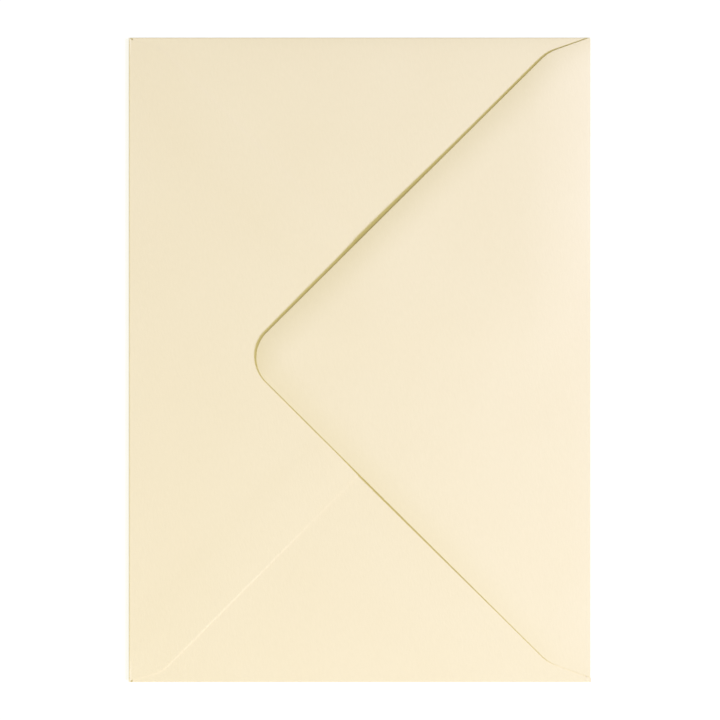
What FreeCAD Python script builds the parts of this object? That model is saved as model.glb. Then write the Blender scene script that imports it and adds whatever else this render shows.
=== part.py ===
"""A diamond flap envelope for a greeting card, empty, with its closing flap folded down.

The envelope is one sheet of paper, die-cut and folded on its four sides:
a front panel, two side flaps, a seam flap glued to the side flaps, and a
closing flap that is folded over them and not stuck down.

Millimetres. It lies on its front panel, with the flaps on top:
X runs across the envelope towards the fold of the closing flap, Y along it,
Z up, and the origin is in the middle of the front panel's outer face.
"""
import FreeCAD, Part
import math
import os

import Sketcher

# Driving dimensions. Depths are measured from a fold's outer edge, across its flap.
SIZES = {
    # The folded envelope, from fold to fold.
    "body_width": 132.0,
    "body_length": 184.0,
    # The paper, and the air between its layers in an empty, relaxed envelope.
    "paper_thickness": 0.13,
    "pocket_gap": 0.3,
    "closing_gap": 0.15,
    # The slit that parts each fold's end from the front panel's corner.
    "corner_slit": 0.15,
    # Closing flap: how much higher it stands where its edges would meet than at its fold,
    # how far its axis lies off the middle of the body, the slope of its edges,
    # and how far each end of its fold is cut back from the corner.
    "tip_lift": 1.1,
    "closing_offset": 0.73,
    "closing_edge_angle": 45.16,
    "closing_end_cutback": 0.65,
    "closing_shoulder_depth": 12.2,
    "closing_shoulder_inset": 4.94,
    "closing_shoulder_radius": 11.0,
    "closing_tip_radius": 10.0,
    # Seam flap. The side flaps' edges run along its own.
    "seam_edge_angle": 45.0,
    "seam_end_cutback": 0.4,
    "seam_shoulder_depth": 9.26,
    "seam_shoulder_inset": 2.9,
    "seam_shoulder_radius": 11.0,
    "seam_tip_radius": 10.0,
    # Side flaps. The overlap is the glued band under the seam flap's edge.
    "seam_overlap": 12.0,
    "side_end_cutback": 1.0,
    "side_shoulder_depth": 18.7,
    "side_shoulder_radius": 12.0,
    "side_tip_radius": 12.0,
}

# Clearance that the trimming sketches leave around the paper.
TRIM_MARGIN = 4.0

SKETCH_START = 1
SKETCH_END = 2
SKETCH_CENTRE = 3
ORIGIN_GEOMETRY = -1

# Stack heights over the table, at the top of each layer.
SIDE_TOP = "(2 * Sizes.paper_thickness + Sizes.pocket_gap)"
SEAM_TOP = f"({SIDE_TOP} + Sizes.paper_thickness)"
CLOSING_TOP = f"({SEAM_TOP} + Sizes.closing_gap + Sizes.paper_thickness)"

# The long flaps' shape, seen flat: half widths at the fold and at the shoulder,
# and the depth at which their two straight edges would meet.
CLOSING_FOLD_HALF = "(Sizes.body_length / 2 - Sizes.closing_end_cutback)"
CLOSING_SHOULDER_HALF = "(Sizes.body_length / 2 - Sizes.closing_shoulder_inset)"
CLOSING_APEX = f"(Sizes.closing_shoulder_depth + {CLOSING_SHOULDER_HALF} * tan(Sizes.closing_edge_angle))"
SEAM_FOLD_HALF = "(Sizes.body_length / 2 - Sizes.seam_end_cutback)"
SEAM_SHOULDER_HALF = "(Sizes.body_length / 2 - Sizes.seam_shoulder_inset)"
SEAM_APEX = f"(Sizes.seam_shoulder_depth + {SEAM_SHOULDER_HALF} * tan(Sizes.seam_edge_angle))"

# A side flap's edges run along those of the seam flap, one overlap further in.
SIDE_FOLD_HALF = "(Sizes.body_width / 2 - Sizes.side_end_cutback)"
SIDE_APEX = (
    "(Sizes.body_length / 2"
    f" - ({SEAM_APEX} - Sizes.body_width / 2) / tan(Sizes.seam_edge_angle)"
    " + Sizes.seam_overlap / sin(Sizes.seam_edge_angle))"
)
SIDE_SHOULDER_HALF = f"(({SIDE_APEX} - Sizes.side_shoulder_depth) * tan(Sizes.seam_edge_angle))"

# The length of paper that each fold's section is drawn out to, before its outline trims it.
LONG_STRIP = "Sizes.body_length"
SIDE_STRIP = "Sizes.body_width"


def add_sizes(doc):
    """The spreadsheet that every sketch and feature reads."""
    sheet = doc.addObject("Spreadsheet::Sheet", "Sizes")
    for row, (name, value) in enumerate(SIZES.items(), start=1):
        sheet.set(f"A{row}", name)
        sheet.set(f"B{row}", str(value))
        sheet.setAlias(f"B{row}", name)
    doc.recompute()
    return sheet


def plane(body, role):
    """One of the body's own origin planes."""
    return next(f for f in body.Origin.OriginFeatures if f.Role == role)


def add_sketch(body, name, role):
    sketch = body.newObject("Sketcher::SketchObject", name)
    sketch.AttachmentSupport = [(plane(body, role), "")]
    sketch.MapMode = "FlatFace"
    return sketch


def bind(sketch, kind, *geometry, expression):
    """Adds a dimension to the sketch, and ties it to the spreadsheet."""
    value = float(sketch.evalExpression(expression))
    index = sketch.addConstraint(Sketcher.Constraint(kind, *geometry, value))
    sketch.setExpression(f"Constraints[{index}]", expression)


def place_point(sketch, geometry, position, along, across):
    """Ties a point of the sketch to two expressions, its coordinates."""
    bind(sketch, "DistanceX", ORIGIN_GEOMETRY, 1, geometry, position, expression=along)
    bind(sketch, "DistanceY", ORIGIN_GEOMETRY, 1, geometry, position, expression=across)


def flat_vector(along, across):
    return FreeCAD.Vector(along, across, 0.0)


def arc_between(centre, radius, start, end):
    """The arc that turns anticlockwise from start to end, two points on the circle."""
    first = math.atan2(start.y - centre.y, start.x - centre.x)
    last = math.atan2(end.y - centre.y, end.x - centre.x)
    circle = Part.Circle(centre, FreeCAD.Vector(0, 0, 1), radius)
    return Part.ArcOfCircle(circle, first, last)


def draw_outline(sketch, corners):
    """Draws an outline, clockwise. Each corner is two expressions for its place and one
    for its rounding, or None where it is sharp. Only outward corners are rounded."""
    count = len(corners)
    points = [
        flat_vector(float(sketch.evalExpression(along)), float(sketch.evalExpression(across)))
        for along, across, _ in corners
    ]
    entering = []
    leaving = []
    centres = []
    for i, (_, _, rounding) in enumerate(corners):
        back = (points[i - 1] - points[i]).normalize()
        ahead = (points[(i + 1) % count] - points[i]).normalize()
        radius = float(sketch.evalExpression(rounding)) if rounding else 0.0
        half = back.getAngle(ahead) / 2
        run = radius / math.tan(half)
        entering.append(points[i] + back * run)
        leaving.append(points[i] + ahead * run)
        bisector = (back + ahead).normalize() if rounding else flat_vector(0, 0)
        centres.append(points[i] + bisector * (radius / math.sin(half)))

    lines = [
        sketch.addGeometry(Part.LineSegment(leaving[i], entering[(i + 1) % count]))
        for i in range(count)
    ]
    for i, (along, across, rounding) in enumerate(corners):
        before = lines[i - 1]
        after = lines[i]
        if not rounding:
            sketch.addConstraint(
                Sketcher.Constraint("Coincident", before, SKETCH_END, after, SKETCH_START)
            )
            place_point(sketch, after, SKETCH_START, along, across)
            continue
        radius = float(sketch.evalExpression(rounding))
        arc = sketch.addGeometry(arc_between(centres[i], radius, leaving[i], entering[i]))
        corner = sketch.addGeometry(Part.Point(points[i]), True)
        sketch.addConstraint(
            [
                Sketcher.Constraint("Tangent", before, SKETCH_END, arc, SKETCH_END),
                Sketcher.Constraint("Tangent", arc, SKETCH_START, after, SKETCH_START),
                Sketcher.Constraint("PointOnObject", corner, SKETCH_START, before),
                Sketcher.Constraint("PointOnObject", corner, SKETCH_START, after),
            ]
        )
        place_point(sketch, corner, SKETCH_START, along, across)
        bind(sketch, "Radius", arc, expression=rounding)


def draw_section(sketch, top, lift, reach):
    """The paper's section across a fold: half a turn up from the table, then out over the body.
    top is the layer's height at the fold, and lift how much higher it stands at reach."""
    thickness = float(sketch.evalExpression("Sizes.paper_thickness"))
    height = float(sketch.evalExpression(top))
    rise = float(sketch.evalExpression(lift))
    length = float(sketch.evalExpression(reach))
    outer_radius = height / 2
    inner_radius = outer_radius - thickness
    centre = flat_vector(outer_radius, outer_radius)
    slope = math.atan2(rise, length - outer_radius)
    leave = flat_vector(-math.sin(slope), math.cos(slope))
    outer_leave = centre + leave * outer_radius
    inner_leave = centre + leave * inner_radius
    outer_foot = centre - flat_vector(0, outer_radius)
    inner_foot = centre - flat_vector(0, inner_radius)
    tip_top = flat_vector(length, height + rise)
    tip_under = tip_top - flat_vector(0, thickness / math.cos(slope))

    outer, upper, tip, under, inner, foot = sketch.addGeometry(
        [
            arc_between(centre, outer_radius, outer_leave, outer_foot),
            Part.LineSegment(outer_leave, tip_top),
            Part.LineSegment(tip_top, tip_under),
            Part.LineSegment(tip_under, inner_leave),
            arc_between(centre, inner_radius, inner_leave, inner_foot),
            Part.LineSegment(inner_foot, outer_foot),
        ]
    )
    sketch.addConstraint(
        [
            Sketcher.Constraint("Tangent", outer, SKETCH_START, upper, SKETCH_START),
            Sketcher.Constraint("Coincident", upper, SKETCH_END, tip, SKETCH_START),
            Sketcher.Constraint("Coincident", tip, SKETCH_END, under, SKETCH_START),
            Sketcher.Constraint("Tangent", under, SKETCH_END, inner, SKETCH_START),
            Sketcher.Constraint("Coincident", inner, SKETCH_END, foot, SKETCH_START),
            Sketcher.Constraint("Coincident", foot, SKETCH_END, outer, SKETCH_END),
            Sketcher.Constraint("Coincident", outer, SKETCH_CENTRE, inner, SKETCH_CENTRE),
            Sketcher.Constraint("Parallel", upper, under),
            Sketcher.Constraint("Vertical", tip),
            Sketcher.Constraint("Vertical", foot),
            Sketcher.Constraint("Vertical", outer, SKETCH_CENTRE, foot, SKETCH_START),
            Sketcher.Constraint("PointOnObject", outer, SKETCH_END, ORIGIN_GEOMETRY),
        ]
    )
    bind(sketch, "Distance", foot, expression="Sizes.paper_thickness")
    bind(sketch, "Radius", outer, expression=f"{top} / 2")
    bind(sketch, "DistanceX", ORIGIN_GEOMETRY, 1, outer, SKETCH_CENTRE, expression=f"{top} / 2")
    place_point(sketch, upper, SKETCH_END, reach, f"{top} + {lift}")


def add_front_panel(doc):
    """The flat panel that carries the address: up to where each fold begins to curve,
    and out to the envelope's corners beyond the folds' ends."""
    body = doc.addObject("PartDesign::Body", "front_panel")
    sketch = add_sketch(body, "front_panel_outline", "XY_Plane")
    corner_x = "(Sizes.body_width / 2)"
    corner_y = "(Sizes.body_length / 2)"
    seam_fold = f"(Sizes.body_width / 2 - {SEAM_TOP} / 2)"
    closing_fold = f"(Sizes.body_width / 2 - {CLOSING_TOP} / 2)"
    side_fold = f"(Sizes.body_length / 2 - {SIDE_TOP} / 2)"
    side_end = f"({SIDE_FOLD_HALF} + Sizes.corner_slit)"
    seam_end = f"({SEAM_FOLD_HALF} + Sizes.corner_slit)"
    closing_end = f"({CLOSING_FOLD_HALF} - Sizes.closing_offset + Sizes.corner_slit)"
    places = [
        (f"-{corner_x}", corner_y),
        (f"-{side_end}", corner_y),
        (f"-{side_end}", side_fold),
        (side_end, side_fold),
        (side_end, corner_y),
        (closing_fold, corner_y),
        (closing_fold, f"-{closing_end}"),
        (corner_x, f"-{closing_end}"),
        (corner_x, f"-{corner_y}"),
        (side_end, f"-{corner_y}"),
        (side_end, f"-{side_fold}"),
        (f"-{side_end}", f"-{side_fold}"),
        (f"-{side_end}", f"-{corner_y}"),
        (f"-{corner_x}", f"-{corner_y}"),
        (f"-{corner_x}", f"-{seam_end}"),
        (f"-{seam_fold}", f"-{seam_end}"),
        (f"-{seam_fold}", seam_end),
        (f"-{corner_x}", seam_end),
    ]
    draw_outline(sketch, [(along, across, None) for along, across in places])
    pad = body.newObject("PartDesign::Pad", "front_panel_paper")
    pad.Profile = sketch
    pad.setExpression("Length", "Sizes.paper_thickness")
    return body


def add_flap(doc, name, top, lift, strip, offset, outline):
    """One flap in its own frame: its fold's outer edge on Y, and the flap out along +X.
    The folded strip is trimmed to the outline, whose axis lies at offset."""
    body = doc.addObject("PartDesign::Body", name)
    reach = max((corner[0] for corner in outline), key=lambda e: float(body.evalExpression(e)))

    section = add_sketch(body, f"{name}_section", "XZ_Plane")
    draw_section(section, top, lift, reach)
    folded = body.newObject("PartDesign::Pad", f"{name}_strip")
    folded.Profile = section
    folded.SideType = "Symmetric"
    folded.setExpression("Length", strip)
    doc.recompute()

    trim = add_sketch(body, f"{name}_outline", "XY_Plane")
    trim.setExpression("AttachmentOffset.Base.y", offset)
    far = f"{reach} + {TRIM_MARGIN}"
    near = str(-2 * TRIM_MARGIN)
    wide = f"{strip} / 2 + {2 * TRIM_MARGIN}"
    draw_outline(
        trim,
        [(near, wide, None), (far, wide, None), (far, f"-({wide})", None), (near, f"-({wide})", None)],
    )
    draw_outline(trim, outline)
    cut = body.newObject("PartDesign::Pocket", f"{name}_die_cut")
    cut.Profile = trim
    cut.SideType = "Symmetric"
    cut.Type = "ThroughAll"
    return body


def flap_outline(fold_half, shoulder_depth, shoulder_half, shoulder_radius, apex, tip_radius):
    """A flap's corners, clockwise: from the fold in to the shoulder, to the tip, and back."""
    beyond_fold = str(-TRIM_MARGIN)
    return [
        (beyond_fold, fold_half, None),
        ("0", fold_half, None),
        (shoulder_depth, shoulder_half, shoulder_radius),
        (apex, "0", tip_radius),
        (shoulder_depth, f"-{shoulder_half}", shoulder_radius),
        ("0", f"-{fold_half}", None),
        (beyond_fold, f"-{fold_half}", None),
    ]


def turn_about_z(degrees):
    return FreeCAD.Rotation(FreeCAD.Vector(0, 0, 1), degrees)


def add_closing_flap(doc):
    outline = flap_outline(
        CLOSING_FOLD_HALF,
        "Sizes.closing_shoulder_depth",
        CLOSING_SHOULDER_HALF,
        "Sizes.closing_shoulder_radius",
        CLOSING_APEX,
        "Sizes.closing_tip_radius",
    )
    flap = add_flap(
        doc, "closing_flap", CLOSING_TOP, "Sizes.tip_lift", LONG_STRIP, "-Sizes.closing_offset", outline
    )
    flap.Placement.Rotation = turn_about_z(180)
    flap.setExpression("Placement.Base.x", "Sizes.body_width / 2")
    return flap


def add_seam_flap(doc):
    outline = flap_outline(
        SEAM_FOLD_HALF,
        "Sizes.seam_shoulder_depth",
        SEAM_SHOULDER_HALF,
        "Sizes.seam_shoulder_radius",
        SEAM_APEX,
        "Sizes.seam_tip_radius",
    )
    flap = add_flap(doc, "seam_flap", SEAM_TOP, "0", LONG_STRIP, "0", outline)
    flap.setExpression("Placement.Base.x", "-Sizes.body_width / 2")
    return flap


def add_side_flaps(doc):
    """The flap on the -Y fold, and its mirror image on the +Y fold."""
    outline = flap_outline(
        SIDE_FOLD_HALF,
        "Sizes.side_shoulder_depth",
        SIDE_SHOULDER_HALF,
        "Sizes.side_shoulder_radius",
        SIDE_APEX,
        "Sizes.side_tip_radius",
    )
    near = add_flap(doc, "near_side_flap", SIDE_TOP, "0", SIDE_STRIP, "0", outline)
    near.Placement.Rotation = turn_about_z(90)
    near.setExpression("Placement.Base.y", "-Sizes.body_length / 2")
    doc.recompute()
    far = doc.addObject("Part::Mirroring", "far_side_flap")
    far.Source = near
    far.Normal = FreeCAD.Vector(0, 1, 0)
    return [near, far]


def add_envelope(doc):
    """The one folded sheet. The seam flap bonds where it lies face to face on the side flaps."""
    panels = [add_front_panel(doc), add_closing_flap(doc), add_seam_flap(doc), *add_side_flaps(doc)]
    doc.recompute()
    envelope = doc.addObject("Part::MultiFuse", "envelope")
    envelope.Label = "envelope"
    envelope.Shapes = panels
    envelope.Refine = True
    return envelope


def check(doc, sub_parts):
    """Stops before anything is written if an object failed or a sub-part isn't one sound solid."""
    for thing in doc.Objects:
        if {"Invalid", "Error"} & set(thing.State):
            raise RuntimeError(f"{thing.Name} failed: {thing.State}")
    for part in sub_parts:
        shape = part.Shape
        if shape.isNull() or not shape.isValid() or len(shape.Solids) != 1:
            raise RuntimeError(f"{part.Label} isn't one valid solid")


def main():
    doc = FreeCAD.newDocument("Envelope")
    add_sizes(doc)
    sub_parts = [add_envelope(doc)]
    doc.recompute()
    check(doc, sub_parts)
    os.makedirs("parts", exist_ok=True)
    for part in sub_parts:
        part.Shape.exportStep(f"parts/{part.Label}.step")


main()
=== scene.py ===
"""The look of a vanilla paper envelope that lies closed, with its flaps up.

Metres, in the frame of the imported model: X runs across the envelope towards the
closing flap's fold, Y along it, and Z up from the table.
"""

import math

import bmesh
import bpy
import numpy as np
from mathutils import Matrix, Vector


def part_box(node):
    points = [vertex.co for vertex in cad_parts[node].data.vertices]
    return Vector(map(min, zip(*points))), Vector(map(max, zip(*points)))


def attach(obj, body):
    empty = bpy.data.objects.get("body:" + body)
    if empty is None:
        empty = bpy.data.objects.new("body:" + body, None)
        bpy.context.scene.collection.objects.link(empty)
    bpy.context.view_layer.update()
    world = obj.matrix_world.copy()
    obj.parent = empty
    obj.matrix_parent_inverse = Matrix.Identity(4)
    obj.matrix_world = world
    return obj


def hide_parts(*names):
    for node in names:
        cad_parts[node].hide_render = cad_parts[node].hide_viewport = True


MM = 0.001

# The paper, the gum's thickness, and how high each layer's top lies where it leaves its fold.
PAPER = 0.13 * MM
GUM = 0.01 * MM
SIDE_TOP = 0.34 * MM
SEAM_TOP = SIDE_TOP + GUM + PAPER
CLOSING_TOP = 0.54 * MM
FRONT_LEVEL = PAPER / 2
SIDE_LEVEL = SIDE_TOP - PAPER / 2
CLOSING_LEVEL = CLOSING_TOP - PAPER / 2

# The flaps' outlines: half lengths of the folds, shoulders as depth and half width, and the depth
# where the straight edges would meet. Depths run from a fold's outer edge. The closing flap lies a
# little off the middle.
CLOSING_OFFSET = 0.73 * MM
CLOSING_FOLD_HALF = 91.35 * MM
CLOSING_SHOULDER = (12.2 * MM, 87.06 * MM)
CLOSING_APEX = 99.76 * MM
SEAM_FOLD_HALF = 91.6 * MM
SEAM_SHOULDER = (9.26 * MM, 89.1 * MM)
SEAM_APEX = 98.36 * MM
SIDE_FOLD_HALF = 65.0 * MM
SIDE_SHOULDER_DEPTH = 18.7 * MM
SEAM_OVERLAP = 12.0 * MM

# The flaps' roundings: at the two shoulders, and at the point.
LONG_FLAP_RADII = (11 * MM, 10 * MM)
SIDE_FLAP_RADII = (12 * MM, 12 * MM)

# The die-cut slit between a fold's end and the front panel's corner.
CORNER_SLIT = 0.15 * MM

# How far the folds bulge: at 1, the inside of each would close to a sharp crease.
PRESSED_FOLD = 1.2

# The rear panel swells a little from its folds: how high, and within what distance of each.
SWELL = 0.30 * MM
SWELL_REACH = {"left": 45 * MM, "right": 12 * MM, "bottom": 30 * MM, "top": 2.8 * MM}

# Slow waves in the paper: length, direction in degrees, phase, and height.
WAVES = (
    (74 * MM, 20, 0.4, 0.020 * MM),
    (52 * MM, 115, 2.1, 0.014 * MM),
    (38 * MM, 65, 4.0, 0.008 * MM),
    (29 * MM, 160, 1.2, 0.005 * MM),
)

# The closing flap's gummed margin curls down towards its cut edge.
CURL_WIDTH = 8.5 * MM
CURL_DROP = 0.52 * MM

# It rises from its fold within this distance, at its two ends.
RISE_REACH = {"top": 8 * MM, "bottom": 30 * MM}

# How far its edges stand off the seam flap. Each bows up: how high, how far from the fold, and how
# wide. The upper edge keeps a gap all along.
UPPER_GAP = 0.22 * MM
UPPER_BOW = (0.12 * MM, 64 * MM, 17 * MM)
LOWER_BOW = (0.16 * MM, 55 * MM, 30 * MM)

# Where along the envelope the lower edge's gap gives way to the upper one's, and how gently.
GAP_CHANGE_PLACE = 3.2 * MM
GAP_CHANGE = 5 * MM

# It goes from its fold's height to that gap over the first distance. Past the seam flap's edge, the
# height that the seam flap lends it fades over the second one.
SETTLE_FROM_FOLD = 18 * MM
SUPPORT_FADE = 35 * MM

# The seam flap sags a little where no side flap is under it, and eases into that over the width.
SEAM_SAG = 0.05 * MM
SAG_WIDTH = 7 * MM

# Its glued margin is pressed thinner at the cut edge: the share lost, and the margin's width. The
# loss fades within a distance of the fold, and comes back between two more distances from it.
PRESSED_SHARE = 0.50
PRESSED_WIDTH = 8 * MM
PRESSED_AT_FOLD = 16 * MM
PRESSED_FROM = 20 * MM
PRESSED_TO = 65 * MM

# The mesh: steps round a fold and round a rounding, the space between a flap's rows, and how far
# past the fold its first rows lie.
ARC_STEPS = 10
ROUNDING_STEPS = 28
ROW_STEP = 1.4 * MM
FOLD_ROWS = tuple(d * MM for d in (0.25, 0.6, 1.1, 1.8, 2.7, 3.8))

# Past this direction the rounded point's rows lie at even angles, and the last has this half width.
TIP_TURN = math.radians(45)
TIP_HALF_WIDTH = 0.6 * MM

# Where the points of a row lie, in from both its ends. A row shorter than the span has them closer.
EDGE_COLUMNS = tuple(
    d * MM for d in (0, 0.15, 0.31, 0.5, 0.8, 1.2, 1.8, 2.6, 3.6, 4.8, 6.4, 8.4, 10.8, 13.6)
)
MIDDLE_COLUMNS = 44
NARROW_SPAN = 44 * MM

# Lines of the front panel's grid that lie closer than this are one.
LEAST_SPACING = 0.03 * MM

# Edges that turn by more than this many degrees are crisp.
CRISP_ANGLE = 40

# The paper: two colours of its slow clouds and two of its fibres, how much the fibres show, and
# the noise of each as scale, detail, turn in degrees and stretch.
CLOUD_COLOURS = ((0.905, 0.800, 0.585, 1), (0.930, 0.835, 0.635, 1))
CLOUD_NOISE = (35, 3, 0, 1)
FIBRE_COLOURS = ((0.860, 0.770, 0.565, 1), (0.965, 0.870, 0.670, 1))
FIBRE_NOISE = (1800, 4, 12, 3.5)
FIBRE_SHARE = 0.35
PAPER_ROUGHNESS = 0.85
PAPER_SPECULAR = 0.15

# Its tooth: the noise and the strength of each bump, and the depth of both.
TOOTH = (((2600, 3, 12, 3.5), 0.5), ((2200, 3, -48, 2.0), 0.4))
TOOTH_DEPTH = 0.03 * MM

# The table. What the camera sees of it is part glow and part paint, so that it comes out white and
# keeps the shadow. Other rays meet plain pale paint.
FLOOR_SIZE = 2.0
FLOOR_BELOW = 0.02 * MM
FLOOR_PAINT = (0.85, 0.85, 0.85, 1)
FLOOR_PAINT_SEEN = (0.30, 0.30, 0.30, 1)
FLOOR_GLOW_SEEN = 0.78
FLOOR_ROUGHNESS = 0.9

# The light from all round, and each lamp's name, width in metres, power in watts, colour, distance
# in metres, and elevation and heading in degrees.
WARM = (0.976, 0.906, 0.447)
FILL_STRENGTH = 0.42
WHITE = (1, 1, 1, 1)
LAMPS = (
    ("window", 0.42, 58, (0.898, 0.980, 1.660), 2.3, 22, -14),
    ("room", 0.8, 2.8, WARM, 0.9, 45, -100),
    ("wall", 1.0, 1.5, (1.0, 0.95, 0.8), 1.2, 12, 165),
)

# The envelope's length in the picture, whose sides are 720 pixels, and the camera in millimetres.
PICTURE_PIXELS = 720
LENGTH_IN_PIXELS = 644.3
LENS = 200
SENSOR = 36

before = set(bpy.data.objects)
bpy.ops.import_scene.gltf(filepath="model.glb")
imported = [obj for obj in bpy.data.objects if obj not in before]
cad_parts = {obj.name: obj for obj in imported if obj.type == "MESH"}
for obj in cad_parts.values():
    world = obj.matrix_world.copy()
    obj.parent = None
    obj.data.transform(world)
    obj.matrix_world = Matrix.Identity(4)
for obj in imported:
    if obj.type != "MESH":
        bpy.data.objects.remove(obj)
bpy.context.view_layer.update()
LOW, HIGH = (np.array(corner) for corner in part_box("envelope"))
HALF_WIDTH = (HIGH[0] - LOW[0]) / 2
HALF_LENGTH = (HIGH[1] - LOW[1]) / 2


def smooth(value):
    """An even step from 0 to 1."""
    value = np.clip(value, 0, 1)
    return value * value * (3 - 2 * value)


def rounded_line(corners, radii):
    """A line through the corners, with arcs of the given radii at all but its two ends."""
    corners = np.array(corners, float)
    line = [corners[0]]
    for before, corner, after, radius in zip(corners, corners[1:], corners[2:], radii):
        back = (before - corner) / np.linalg.norm(before - corner)
        ahead = (after - corner) / np.linalg.norm(after - corner)
        half = math.acos(np.clip(back @ ahead, -1, 1)) / 2
        bisector = (back + ahead) / np.linalg.norm(back + ahead)
        centre = corner + bisector * radius / math.sin(half)
        start = corner + back * radius / math.tan(half) - centre
        side = -bisector
        turn = math.pi / 2 - half
        across = start - side * (start @ side)
        across = across / np.linalg.norm(across)
        for angle in np.linspace(turn, -turn, ROUNDING_STEPS + 1):
            line.append(centre + radius * (side * math.cos(angle) + across * math.sin(angle)))
    line.append(corners[-1])
    return np.array(line)


def distance_to(points, line):
    """How far each point lies from a line of straight pieces."""
    nearest = np.full(len(points), np.inf)
    for start, end in zip(line[:-1], line[1:]):
        along = end - start
        share = np.clip(((points - start) @ along) / (along @ along), 0, 1)
        gap = points - start - share[:, None] * along
        nearest = np.minimum(nearest, np.hypot(gap[:, 0], gap[:, 1]))
    return nearest


class Flap:
    """One flap, seen flat: u runs in from the outer edge of its fold, and v along the fold."""

    def __init__(self, top, fold_half, shoulder, apex, radii, offset, to_body, to_flap):
        self.rise = (top - PAPER) / 2
        self.bulge = math.sqrt(PRESSED_FOLD * self.rise * PAPER / 2)
        self.start = PAPER / 2 + self.bulge
        self.offset = offset
        self.to_body = to_body
        self.to_flap = to_flap
        depth, half = shoulder
        corners = [
            (self.start, fold_half), (depth, half), (apex, 0), (depth, -half), (self.start, -fold_half),
        ]
        knee, point = radii
        self.edge = rounded_line(corners, (knee, point, knee))
        self.point_radius = point
        half_angle = math.atan2(half, apex - depth)
        self.tip = apex - point * (1 / math.sin(half_angle) - 1)
        self.upper = self.edge[self.edge[:, 1] >= 0]

    def half_width(self, u):
        return np.interp(u, self.upper[:, 0], self.upper[:, 1])

    def span(self, u, limit):
        """Where the flap begins and ends along v, at one depth."""
        half = float(self.half_width(u))
        return max(self.offset - half, -limit), min(self.offset + half, limit)

    def rows(self):
        """The depths of the rows of points, from the fold to the tip."""
        near = [self.start + d for d in (0, *FOLD_ROWS)]
        centre = self.tip - self.point_radius
        turn = centre + self.point_radius * math.cos(TIP_TURN)
        steps = math.ceil((turn - near[-1]) / ROW_STEP)
        straight = list(np.linspace(near[-1], turn, steps + 1)[1:])
        last = math.asin(TIP_HALF_WIDTH / self.point_radius)
        angles = np.linspace(TIP_TURN, last, ROUNDING_STEPS // 2 + 1)[1:]
        return near + straight + [centre + self.point_radius * math.cos(a) for a in angles]

    def depth_inside(self, x, y):
        """How far points of the body lie inside the flap's cut edge; below zero outside it."""
        u, v = self.to_flap(x, y)
        across = v - self.offset
        gap = distance_to(np.column_stack([u, across]), self.edge)
        inside = (np.abs(across) < self.half_width(u)) & (u < self.tip)
        return np.where(inside, gap, -gap)


def make_flaps():
    """The four flaps. The side flaps' edges run along those of the seam flap, one overlap further in."""
    closing = Flap(
        CLOSING_TOP, CLOSING_FOLD_HALF, CLOSING_SHOULDER, CLOSING_APEX, LONG_FLAP_RADII, CLOSING_OFFSET,
        lambda u, v: (HALF_WIDTH - u, v), lambda x, y: (HALF_WIDTH - x, y),
    )
    seam = Flap(
        SEAM_TOP, SEAM_FOLD_HALF, SEAM_SHOULDER, SEAM_APEX, LONG_FLAP_RADII, 0,
        lambda u, v: (u - HALF_WIDTH, v), lambda x, y: (x + HALF_WIDTH, y),
    )
    side_apex = HALF_LENGTH - (SEAM_APEX - HALF_WIDTH) + SEAM_OVERLAP * math.sqrt(2)
    side_shoulder = (SIDE_SHOULDER_DEPTH, side_apex - SIDE_SHOULDER_DEPTH)
    side_shape = (side_shoulder, side_apex, SIDE_FLAP_RADII, 0)
    near = Flap(
        SIDE_TOP, SIDE_FOLD_HALF, *side_shape,
        lambda u, v: (v, u - HALF_LENGTH), lambda x, y: (y + HALF_LENGTH, x),
    )
    far = Flap(
        SIDE_TOP, SIDE_FOLD_HALF, *side_shape,
        lambda u, v: (v, HALF_LENGTH - u), lambda x, y: (HALF_LENGTH - y, x),
    )
    return closing, seam, near, far


CLOSING, SEAM, NEAR, FAR = make_flaps()


def swell(x, y):
    """The soft swell of the rear panel, nought at the folds, with slow waves in it."""
    distances = {
        "left": x + HALF_WIDTH - SEAM.start,
        "right": HALF_WIDTH - CLOSING.start - x,
        "bottom": y + HALF_LENGTH - NEAR.start,
        "top": HALF_LENGTH - FAR.start - y,
    }
    share = np.ones_like(x)
    for side, distance in distances.items():
        share = share * (1 - np.exp(-np.maximum(distance, 0) / SWELL_REACH[side]))
    height = np.full_like(x, SWELL)
    for length, heading, phase, tall in WAVES:
        run = x * math.cos(math.radians(heading)) + y * math.sin(math.radians(heading))
        height = height + tall * np.sin(2 * math.pi * run / length + phase)
    return share * height


def side_height(x, y):
    """How high the middle of the side flaps' paper lies."""
    return SIDE_LEVEL + swell(x, y)


def seam_thickness(x, y):
    """The seam flap's thickness, as a share of the paper's."""
    margin = smooth(1 - SEAM.depth_inside(x, y) / PRESSED_WIDTH)
    from_fold = x + HALF_WIDTH - SEAM.start
    near = smooth(1 - from_fold / PRESSED_AT_FOLD)
    far = smooth((from_fold - PRESSED_FROM) / (PRESSED_TO - PRESSED_FROM))
    return 1 - PRESSED_SHARE * margin * (near + far)


def seam_height(x, y):
    """How high the middle of the seam flap's paper lies."""
    over_side = np.maximum(NEAR.depth_inside(x, y), FAR.depth_inside(x, y))
    near_fold = np.exp(-np.maximum(x + HALF_WIDTH - SEAM.start, 0) / SAG_WIDTH)
    free = (1 - smooth(over_side / SAG_WIDTH + 1)) * (1 - near_fold)
    lost = (1 - seam_thickness(x, y)) * PAPER / 2
    return SIDE_LEVEL + GUM + PAPER - lost + swell(x, y) - SEAM_SAG * free


def bow(place, height, middle, width):
    """A soft hump along a line."""
    return height * np.exp(-(((place - middle) / width) ** 2))


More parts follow.
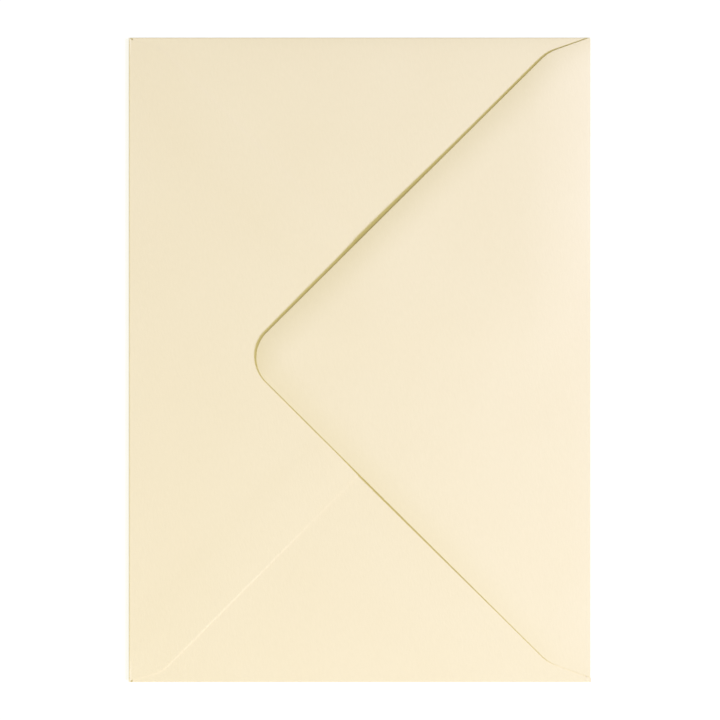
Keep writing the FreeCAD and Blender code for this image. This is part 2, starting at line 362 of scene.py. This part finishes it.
def closing_height(x, y):
    """How high the middle of the closing flap's paper lies."""
    inside = CLOSING.depth_inside(x, y)
    from_fold = np.maximum(HALF_WIDTH - CLOSING.start - x, 0)
    outside_seam = np.maximum(-SEAM.depth_inside(x, y), 0)
    support = (GUM + PAPER) * np.exp(-((outside_seam / SUPPORT_FADE) ** 2))
    upper = 0.5 + 0.5 * np.tanh((y - GAP_CHANGE_PLACE) / GAP_CHANGE)
    gap = (UPPER_GAP + bow(from_fold, *UPPER_BOW)) * upper + bow(from_fold, *LOWER_BOW) * (1 - upper)
    resting = SIDE_LEVEL + support + PAPER + gap
    settled = smooth(from_fold / SETTLE_FROM_FOLD)
    curl = 1 - np.maximum(1 - inside / CURL_WIDTH, 0) ** 2
    towards_top = smooth(0.5 + y / HALF_LENGTH)
    reach = RISE_REACH["bottom"] + (RISE_REACH["top"] - RISE_REACH["bottom"]) * towards_top
    bulge = CURL_DROP * curl * (1 - np.exp(-from_fold / reach))
    return CLOSING_LEVEL * (1 - settled) + resting * settled + bulge + swell(x, y)


class Sheet:
    """The middle surface of the folded sheet."""

    def __init__(self):
        self.points = []
        self.faces = []
        self.thickness = []

    def add_row(self, x, y, z, thickness=None):
        """Adds points, and returns their numbers. Thickness is a share of the paper's."""
        first = len(self.points)
        self.points.extend(zip(x, y, z))
        self.thickness.extend(np.ones(len(x)) if thickness is None else thickness)
        return list(range(first, len(self.points)))

    def join(self, row, following, between=None):
        """Faces between two rows of points. The first row may have more points between its own."""
        for i in range(len(row) - 1):
            last = row[i]
            for extra in between[i] if between else ():
                self.faces.append((last, extra, following[i]))
                last = extra
            self.faces.append((last, row[i + 1], following[i + 1], following[i]))


def columns(low, high):
    """Where a row's points lie: close together towards both of its ends."""
    scale = min(1.0, (high - low) / NARROW_SPAN)
    margin = np.array(EDGE_COLUMNS) * scale
    middle = np.linspace(low + margin[-1], high - margin[-1], MIDDLE_COLUMNS + 1)[1:-1]
    return np.concatenate([low + margin, middle, (high - margin)[::-1]])


def grid_lines(*places):
    """The places in order, without those that all but coincide."""
    kept = []
    for place in sorted(float(p) for p in places):
        if not kept or place - kept[-1] > LEAST_SPACING:
            kept.append(place)
    return np.array(kept)


def add_front_panel(sheet):
    """The flat front panel. Returns each fold's points: those its flap starts from, and those between."""
    seam_low, seam_high = SEAM.span(0, HALF_LENGTH)
    closing_low, closing_high = CLOSING.span(0, HALF_LENGTH)
    seam_columns = columns(seam_low, seam_high)
    closing_columns = columns(closing_low, closing_high)
    side_columns = columns(-SIDE_FOLD_HALF, SIDE_FOLD_HALF)
    left, right = SEAM.start - HALF_WIDTH, HALF_WIDTH - CLOSING.start
    bottom, top = NEAR.start - HALF_LENGTH, HALF_LENGTH - FAR.start
    slit = SIDE_FOLD_HALF + CORNER_SLIT
    xs = grid_lines(-HALF_WIDTH, left, -slit, *side_columns, slit, right, HALF_WIDTH)
    slits = (seam_low - CORNER_SLIT, seam_high + CORNER_SLIT, closing_low - CORNER_SLIT)
    ys = grid_lines(-HALF_LENGTH, bottom, *slits, *seam_columns, *closing_columns, top)

    def in_panel(x, y):
        """Whether a place is paper, and neither in a slit nor past a fold."""
        if x < left:
            return not seam_low - CORNER_SLIT < y < seam_high + CORNER_SLIT
        if x > right:
            return y < closing_low - CORNER_SLIT
        return bottom < y < top or abs(x) > slit

    numbers = {}

    def number(i, j):
        if (i, j) not in numbers:
            numbers[i, j] = sheet.add_row([xs[i]], [ys[j]], [FRONT_LEVEL])[0]
        return numbers[i, j]

    for i in range(len(xs) - 1):
        for j in range(len(ys) - 1):
            if in_panel((xs[i] + xs[i + 1]) / 2, (ys[j] + ys[j + 1]) / 2):
                sheet.faces.append((number(i, j), number(i + 1, j), number(i + 1, j + 1), number(i, j + 1)))

    def nearest(values, wanted):
        return [int(np.argmin(np.abs(values - w))) for w in wanted]

    def fold_points(marks, point):
        """The points at the marks, and for each space between two marks the points in it."""
        between = [[point(k) for k in range(a + 1, b)] for a, b in zip(marks, marks[1:])]
        return [point(k) for k in marks], between

    def upright_fold(place, wanted):
        i = nearest(xs, [place])[0]
        return fold_points(nearest(ys, wanted), lambda j: number(i, j))

    def level_fold(place, wanted):
        j = nearest(ys, [place])[0]
        return fold_points(nearest(xs, wanted), lambda i: number(i, j))

    return {
        "left": upright_fold(left, seam_columns),
        "right": upright_fold(right, closing_columns),
        "bottom": level_fold(bottom, side_columns),
        "top": level_fold(top, side_columns),
    }


def add_flap(sheet, flap, fold, height, limit, thickness=None):
    """One flap, folded up and over from its points on the front panel."""
    low, high = flap.span(0, limit)
    v = columns(low, high)
    first = flap.start + np.zeros_like(v)
    ahead = first + FOLD_ROWS[0]
    climb = (height(*flap.to_body(ahead, v)) - height(*flap.to_body(first, v))) / FOLD_ROWS[0]
    lean = np.arctan2(climb * flap.bulge, flap.rise)
    row, between = fold
    for step in range(1, ARC_STEPS + 1):
        angle = (math.pi - lean) * step / ARC_STEPS
        u = flap.start - flap.bulge * np.sin(angle)
        z = FRONT_LEVEL + flap.rise * (1 - np.cos(angle))
        following = sheet.add_row(*flap.to_body(u, v), z)
        sheet.join(row, following, between)
        row, between = following, None
    for depth in flap.rows()[1:]:
        v = columns(*flap.span(depth, limit))
        x, y = flap.to_body(np.full_like(v, depth), v)
        following = sheet.add_row(x, y, height(x, y), thickness and thickness(x, y))
        sheet.join(row, following)
        row = following


def make_envelope():
    """The whole folded sheet as one mesh of its middle surface, which keeps each point's share of the
    paper's thickness.
    """
    sheet = Sheet()
    folds = add_front_panel(sheet)
    add_flap(sheet, NEAR, folds["bottom"], side_height, SIDE_FOLD_HALF)
    add_flap(sheet, FAR, folds["top"], side_height, SIDE_FOLD_HALF)
    add_flap(sheet, SEAM, folds["left"], seam_height, HALF_LENGTH, seam_thickness)
    add_flap(sheet, CLOSING, folds["right"], closing_height, HALF_LENGTH)

    surface = bpy.data.meshes.new("envelope_surface")
    surface.from_pydata([tuple(float(c) for c in p) for p in sheet.points], [], sheet.faces)
    piece = bpy.data.objects.new("envelope_paper", surface)
    bpy.context.scene.collection.objects.link(piece)
    group = piece.vertex_groups.new(name="thickness")
    for i, share in enumerate(sheet.thickness):
        group.add([i], float(share), "REPLACE")
    return piece


def orient_faces(mesh):
    """Turns the faces so that neighbours agree, and outwards where the mesh is closed."""
    working = bmesh.new()
    working.from_mesh(mesh)
    bmesh.ops.recalc_face_normals(working, faces=working.faces)
    working.to_mesh(mesh)
    working.free()


def thicken(piece):
    """Gives the sheet its thickness, with crisp cut edges."""
    orient_faces(piece.data)
    solid = piece.modifiers.new("paper_thickness", "SOLIDIFY")
    solid.thickness = PAPER
    solid.offset = 0
    solid.use_even_offset = True
    solid.vertex_group = "thickness"
    evaluated = piece.evaluated_get(bpy.context.evaluated_depsgraph_get())
    mesh = bpy.data.meshes.new_from_object(evaluated)
    mesh.name = "envelope_paper"
    piece.modifiers.clear()
    piece.vertex_groups.clear()
    piece.data = mesh
    orient_faces(mesh)
    mesh.shade_smooth()
    mesh.set_sharp_from_angle(angle=math.radians(CRISP_ANGLE))


def mix_colours(nodes, links, factor, first, second):
    """A colour between two others. Each input is a value, a colour or another node's output."""
    node = nodes.new("ShaderNodeMix")
    node.data_type = "RGBA"
    for name, value in (("Factor", factor), ("A", first), ("B", second)):
        socket = next(s for s in node.inputs if s.name == name and s.enabled)
        if isinstance(value, bpy.types.NodeSocket):
            links.new(value, socket)
        else:
            socket.default_value = value
    return next(s for s in node.outputs if s.enabled)


def make_paper():
    """Smooth uncoated vanilla paper."""
    material = bpy.data.materials.new("vanilla_paper")
    material.use_nodes = True
    nodes = material.node_tree.nodes
    links = material.node_tree.links
    shader = nodes["Principled BSDF"]
    shader.inputs["Roughness"].default_value = PAPER_ROUGHNESS
    shader.inputs["Specular IOR Level"].default_value = PAPER_SPECULAR
    place = nodes.new("ShaderNodeTexCoord")

    def noise(scale, detail, turn, stretch):
        """Noise drawn out in one direction, turned by some degrees from the envelope's length."""
        mapping = nodes.new("ShaderNodeMapping")
        mapping.vector_type = "TEXTURE"
        mapping.inputs["Rotation"].default_value = (0, 0, math.radians(turn))
        mapping.inputs["Scale"].default_value = (1, stretch, 1)
        links.new(place.outputs["Object"], mapping.inputs["Vector"])
        node = nodes.new("ShaderNodeTexNoise")
        node.inputs["Scale"].default_value = scale
        node.inputs["Detail"].default_value = detail
        links.new(mapping.outputs["Vector"], node.inputs["Vector"])
        return node.outputs["Fac"]

    cloud = mix_colours(nodes, links, noise(*CLOUD_NOISE), *CLOUD_COLOURS)
    fibres = mix_colours(nodes, links, noise(*FIBRE_NOISE), *FIBRE_COLOURS)
    links.new(mix_colours(nodes, links, FIBRE_SHARE, cloud, fibres), shader.inputs["Base Color"])

    normal = None
    for pattern, strength in TOOTH:
        bump = nodes.new("ShaderNodeBump")
        bump.inputs["Strength"].default_value = strength
        bump.inputs["Distance"].default_value = TOOTH_DEPTH
        links.new(noise(*pattern), bump.inputs["Height"])
        if normal:
            links.new(normal, bump.inputs["Normal"])
        normal = bump.outputs["Normal"]
    links.new(normal, shader.inputs["Normal"])
    return material


def seen_directly(nodes, links):
    """1 for what the camera sees, also in a reflection or through glass, and otherwise 0."""
    path = nodes.new("ShaderNodeLightPath")
    total = path.outputs["Is Camera Ray"]
    for name in ("Is Glossy Ray", "Is Transmission Ray"):
        add = nodes.new("ShaderNodeMath")
        add.operation = "MAXIMUM"
        links.new(total, add.inputs[0])
        links.new(path.outputs[name], add.inputs[1])
        total = add.outputs[0]
    return total


def make_floor():
    """A plain white table that keeps the envelope's shadow."""
    bpy.ops.mesh.primitive_plane_add(size=FLOOR_SIZE, location=(0, 0, -FLOOR_BELOW))
    floor = bpy.context.object
    floor.name = "floor"
    material = bpy.data.materials.new("white_floor")
    material.use_nodes = True
    nodes = material.node_tree.nodes
    links = material.node_tree.links
    shader = nodes["Principled BSDF"]
    shader.inputs["Roughness"].default_value = FLOOR_ROUGHNESS
    shader.inputs["Specular IOR Level"].default_value = 0.0
    shader.inputs["Emission Color"].default_value = WHITE
    seen = seen_directly(nodes, links)
    colour = mix_colours(nodes, links, seen, FLOOR_PAINT, FLOOR_PAINT_SEEN)
    links.new(colour, shader.inputs["Base Color"])
    strength = nodes.new("ShaderNodeMath")
    strength.operation = "MULTIPLY"
    strength.inputs[1].default_value = FLOOR_GLOW_SEEN
    links.new(seen, strength.inputs[0])
    links.new(strength.outputs[0], shader.inputs["Emission Strength"])
    floor.data.materials.append(material)


def make_world():
    """Warm fill from all round, behind a white background."""
    world = bpy.data.worlds.new("studio")
    world.use_nodes = True
    bpy.context.scene.world = world
    nodes = world.node_tree.nodes
    links = world.node_tree.links
    fill = nodes["Background"]
    fill.inputs["Color"].default_value = (*WARM, 1)
    fill.inputs["Strength"].default_value = FILL_STRENGTH
    white = nodes.new("ShaderNodeBackground")
    white.inputs["Color"].default_value = WHITE
    white.inputs["Strength"].default_value = 1.0
    choose = nodes.new("ShaderNodeMixShader")
    links.new(seen_directly(nodes, links), choose.inputs[0])
    links.new(fill.outputs[0], choose.inputs[1])
    links.new(white.outputs[0], choose.inputs[2])
    links.new(choose.outputs[0], nodes["World Output"].inputs["Surface"])


def add_light(name, size, energy, color, distance, elevation, heading):
    """A soft round light that points at the envelope."""
    lamp = bpy.data.lights.new(name, "AREA")
    lamp.shape = "DISK"
    lamp.size = size
    lamp.energy = energy
    lamp.color = color
    light = bpy.data.objects.new(name, lamp)
    bpy.context.scene.collection.objects.link(light)
    level = distance * math.cos(math.radians(elevation))
    light.location = (
        level * math.cos(math.radians(heading)),
        level * math.sin(math.radians(heading)),
        distance * math.sin(math.radians(elevation)),
    )
    light.rotation_euler = (-light.location).to_track_quat("-Z", "Y").to_euler()


def make_lights():
    """A low cool window on the right, a warm room towards -Y, and a pale wall on the left."""
    for lamp in LAMPS:
        add_light(*lamp)


def make_camera():
    """Straight down, with the envelope's length up the picture."""
    view_width = 2 * HALF_LENGTH * PICTURE_PIXELS / LENGTH_IN_PIXELS
    camera = bpy.data.cameras.new("camera")
    camera.lens = LENS
    camera.sensor_width = SENSOR
    eye = bpy.data.objects.new("camera", camera)
    eye.location = (0, 0, view_width * LENS / SENSOR)
    bpy.context.scene.collection.objects.link(eye)
    bpy.context.scene.camera = eye


make_camera()
make_world()
make_lights()
make_floor()

envelope = make_envelope()
thicken(envelope)
envelope.data.materials.append(make_paper())
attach(envelope, "root")
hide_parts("envelope")

bpy.context.scene.view_settings.view_transform = "Standard"
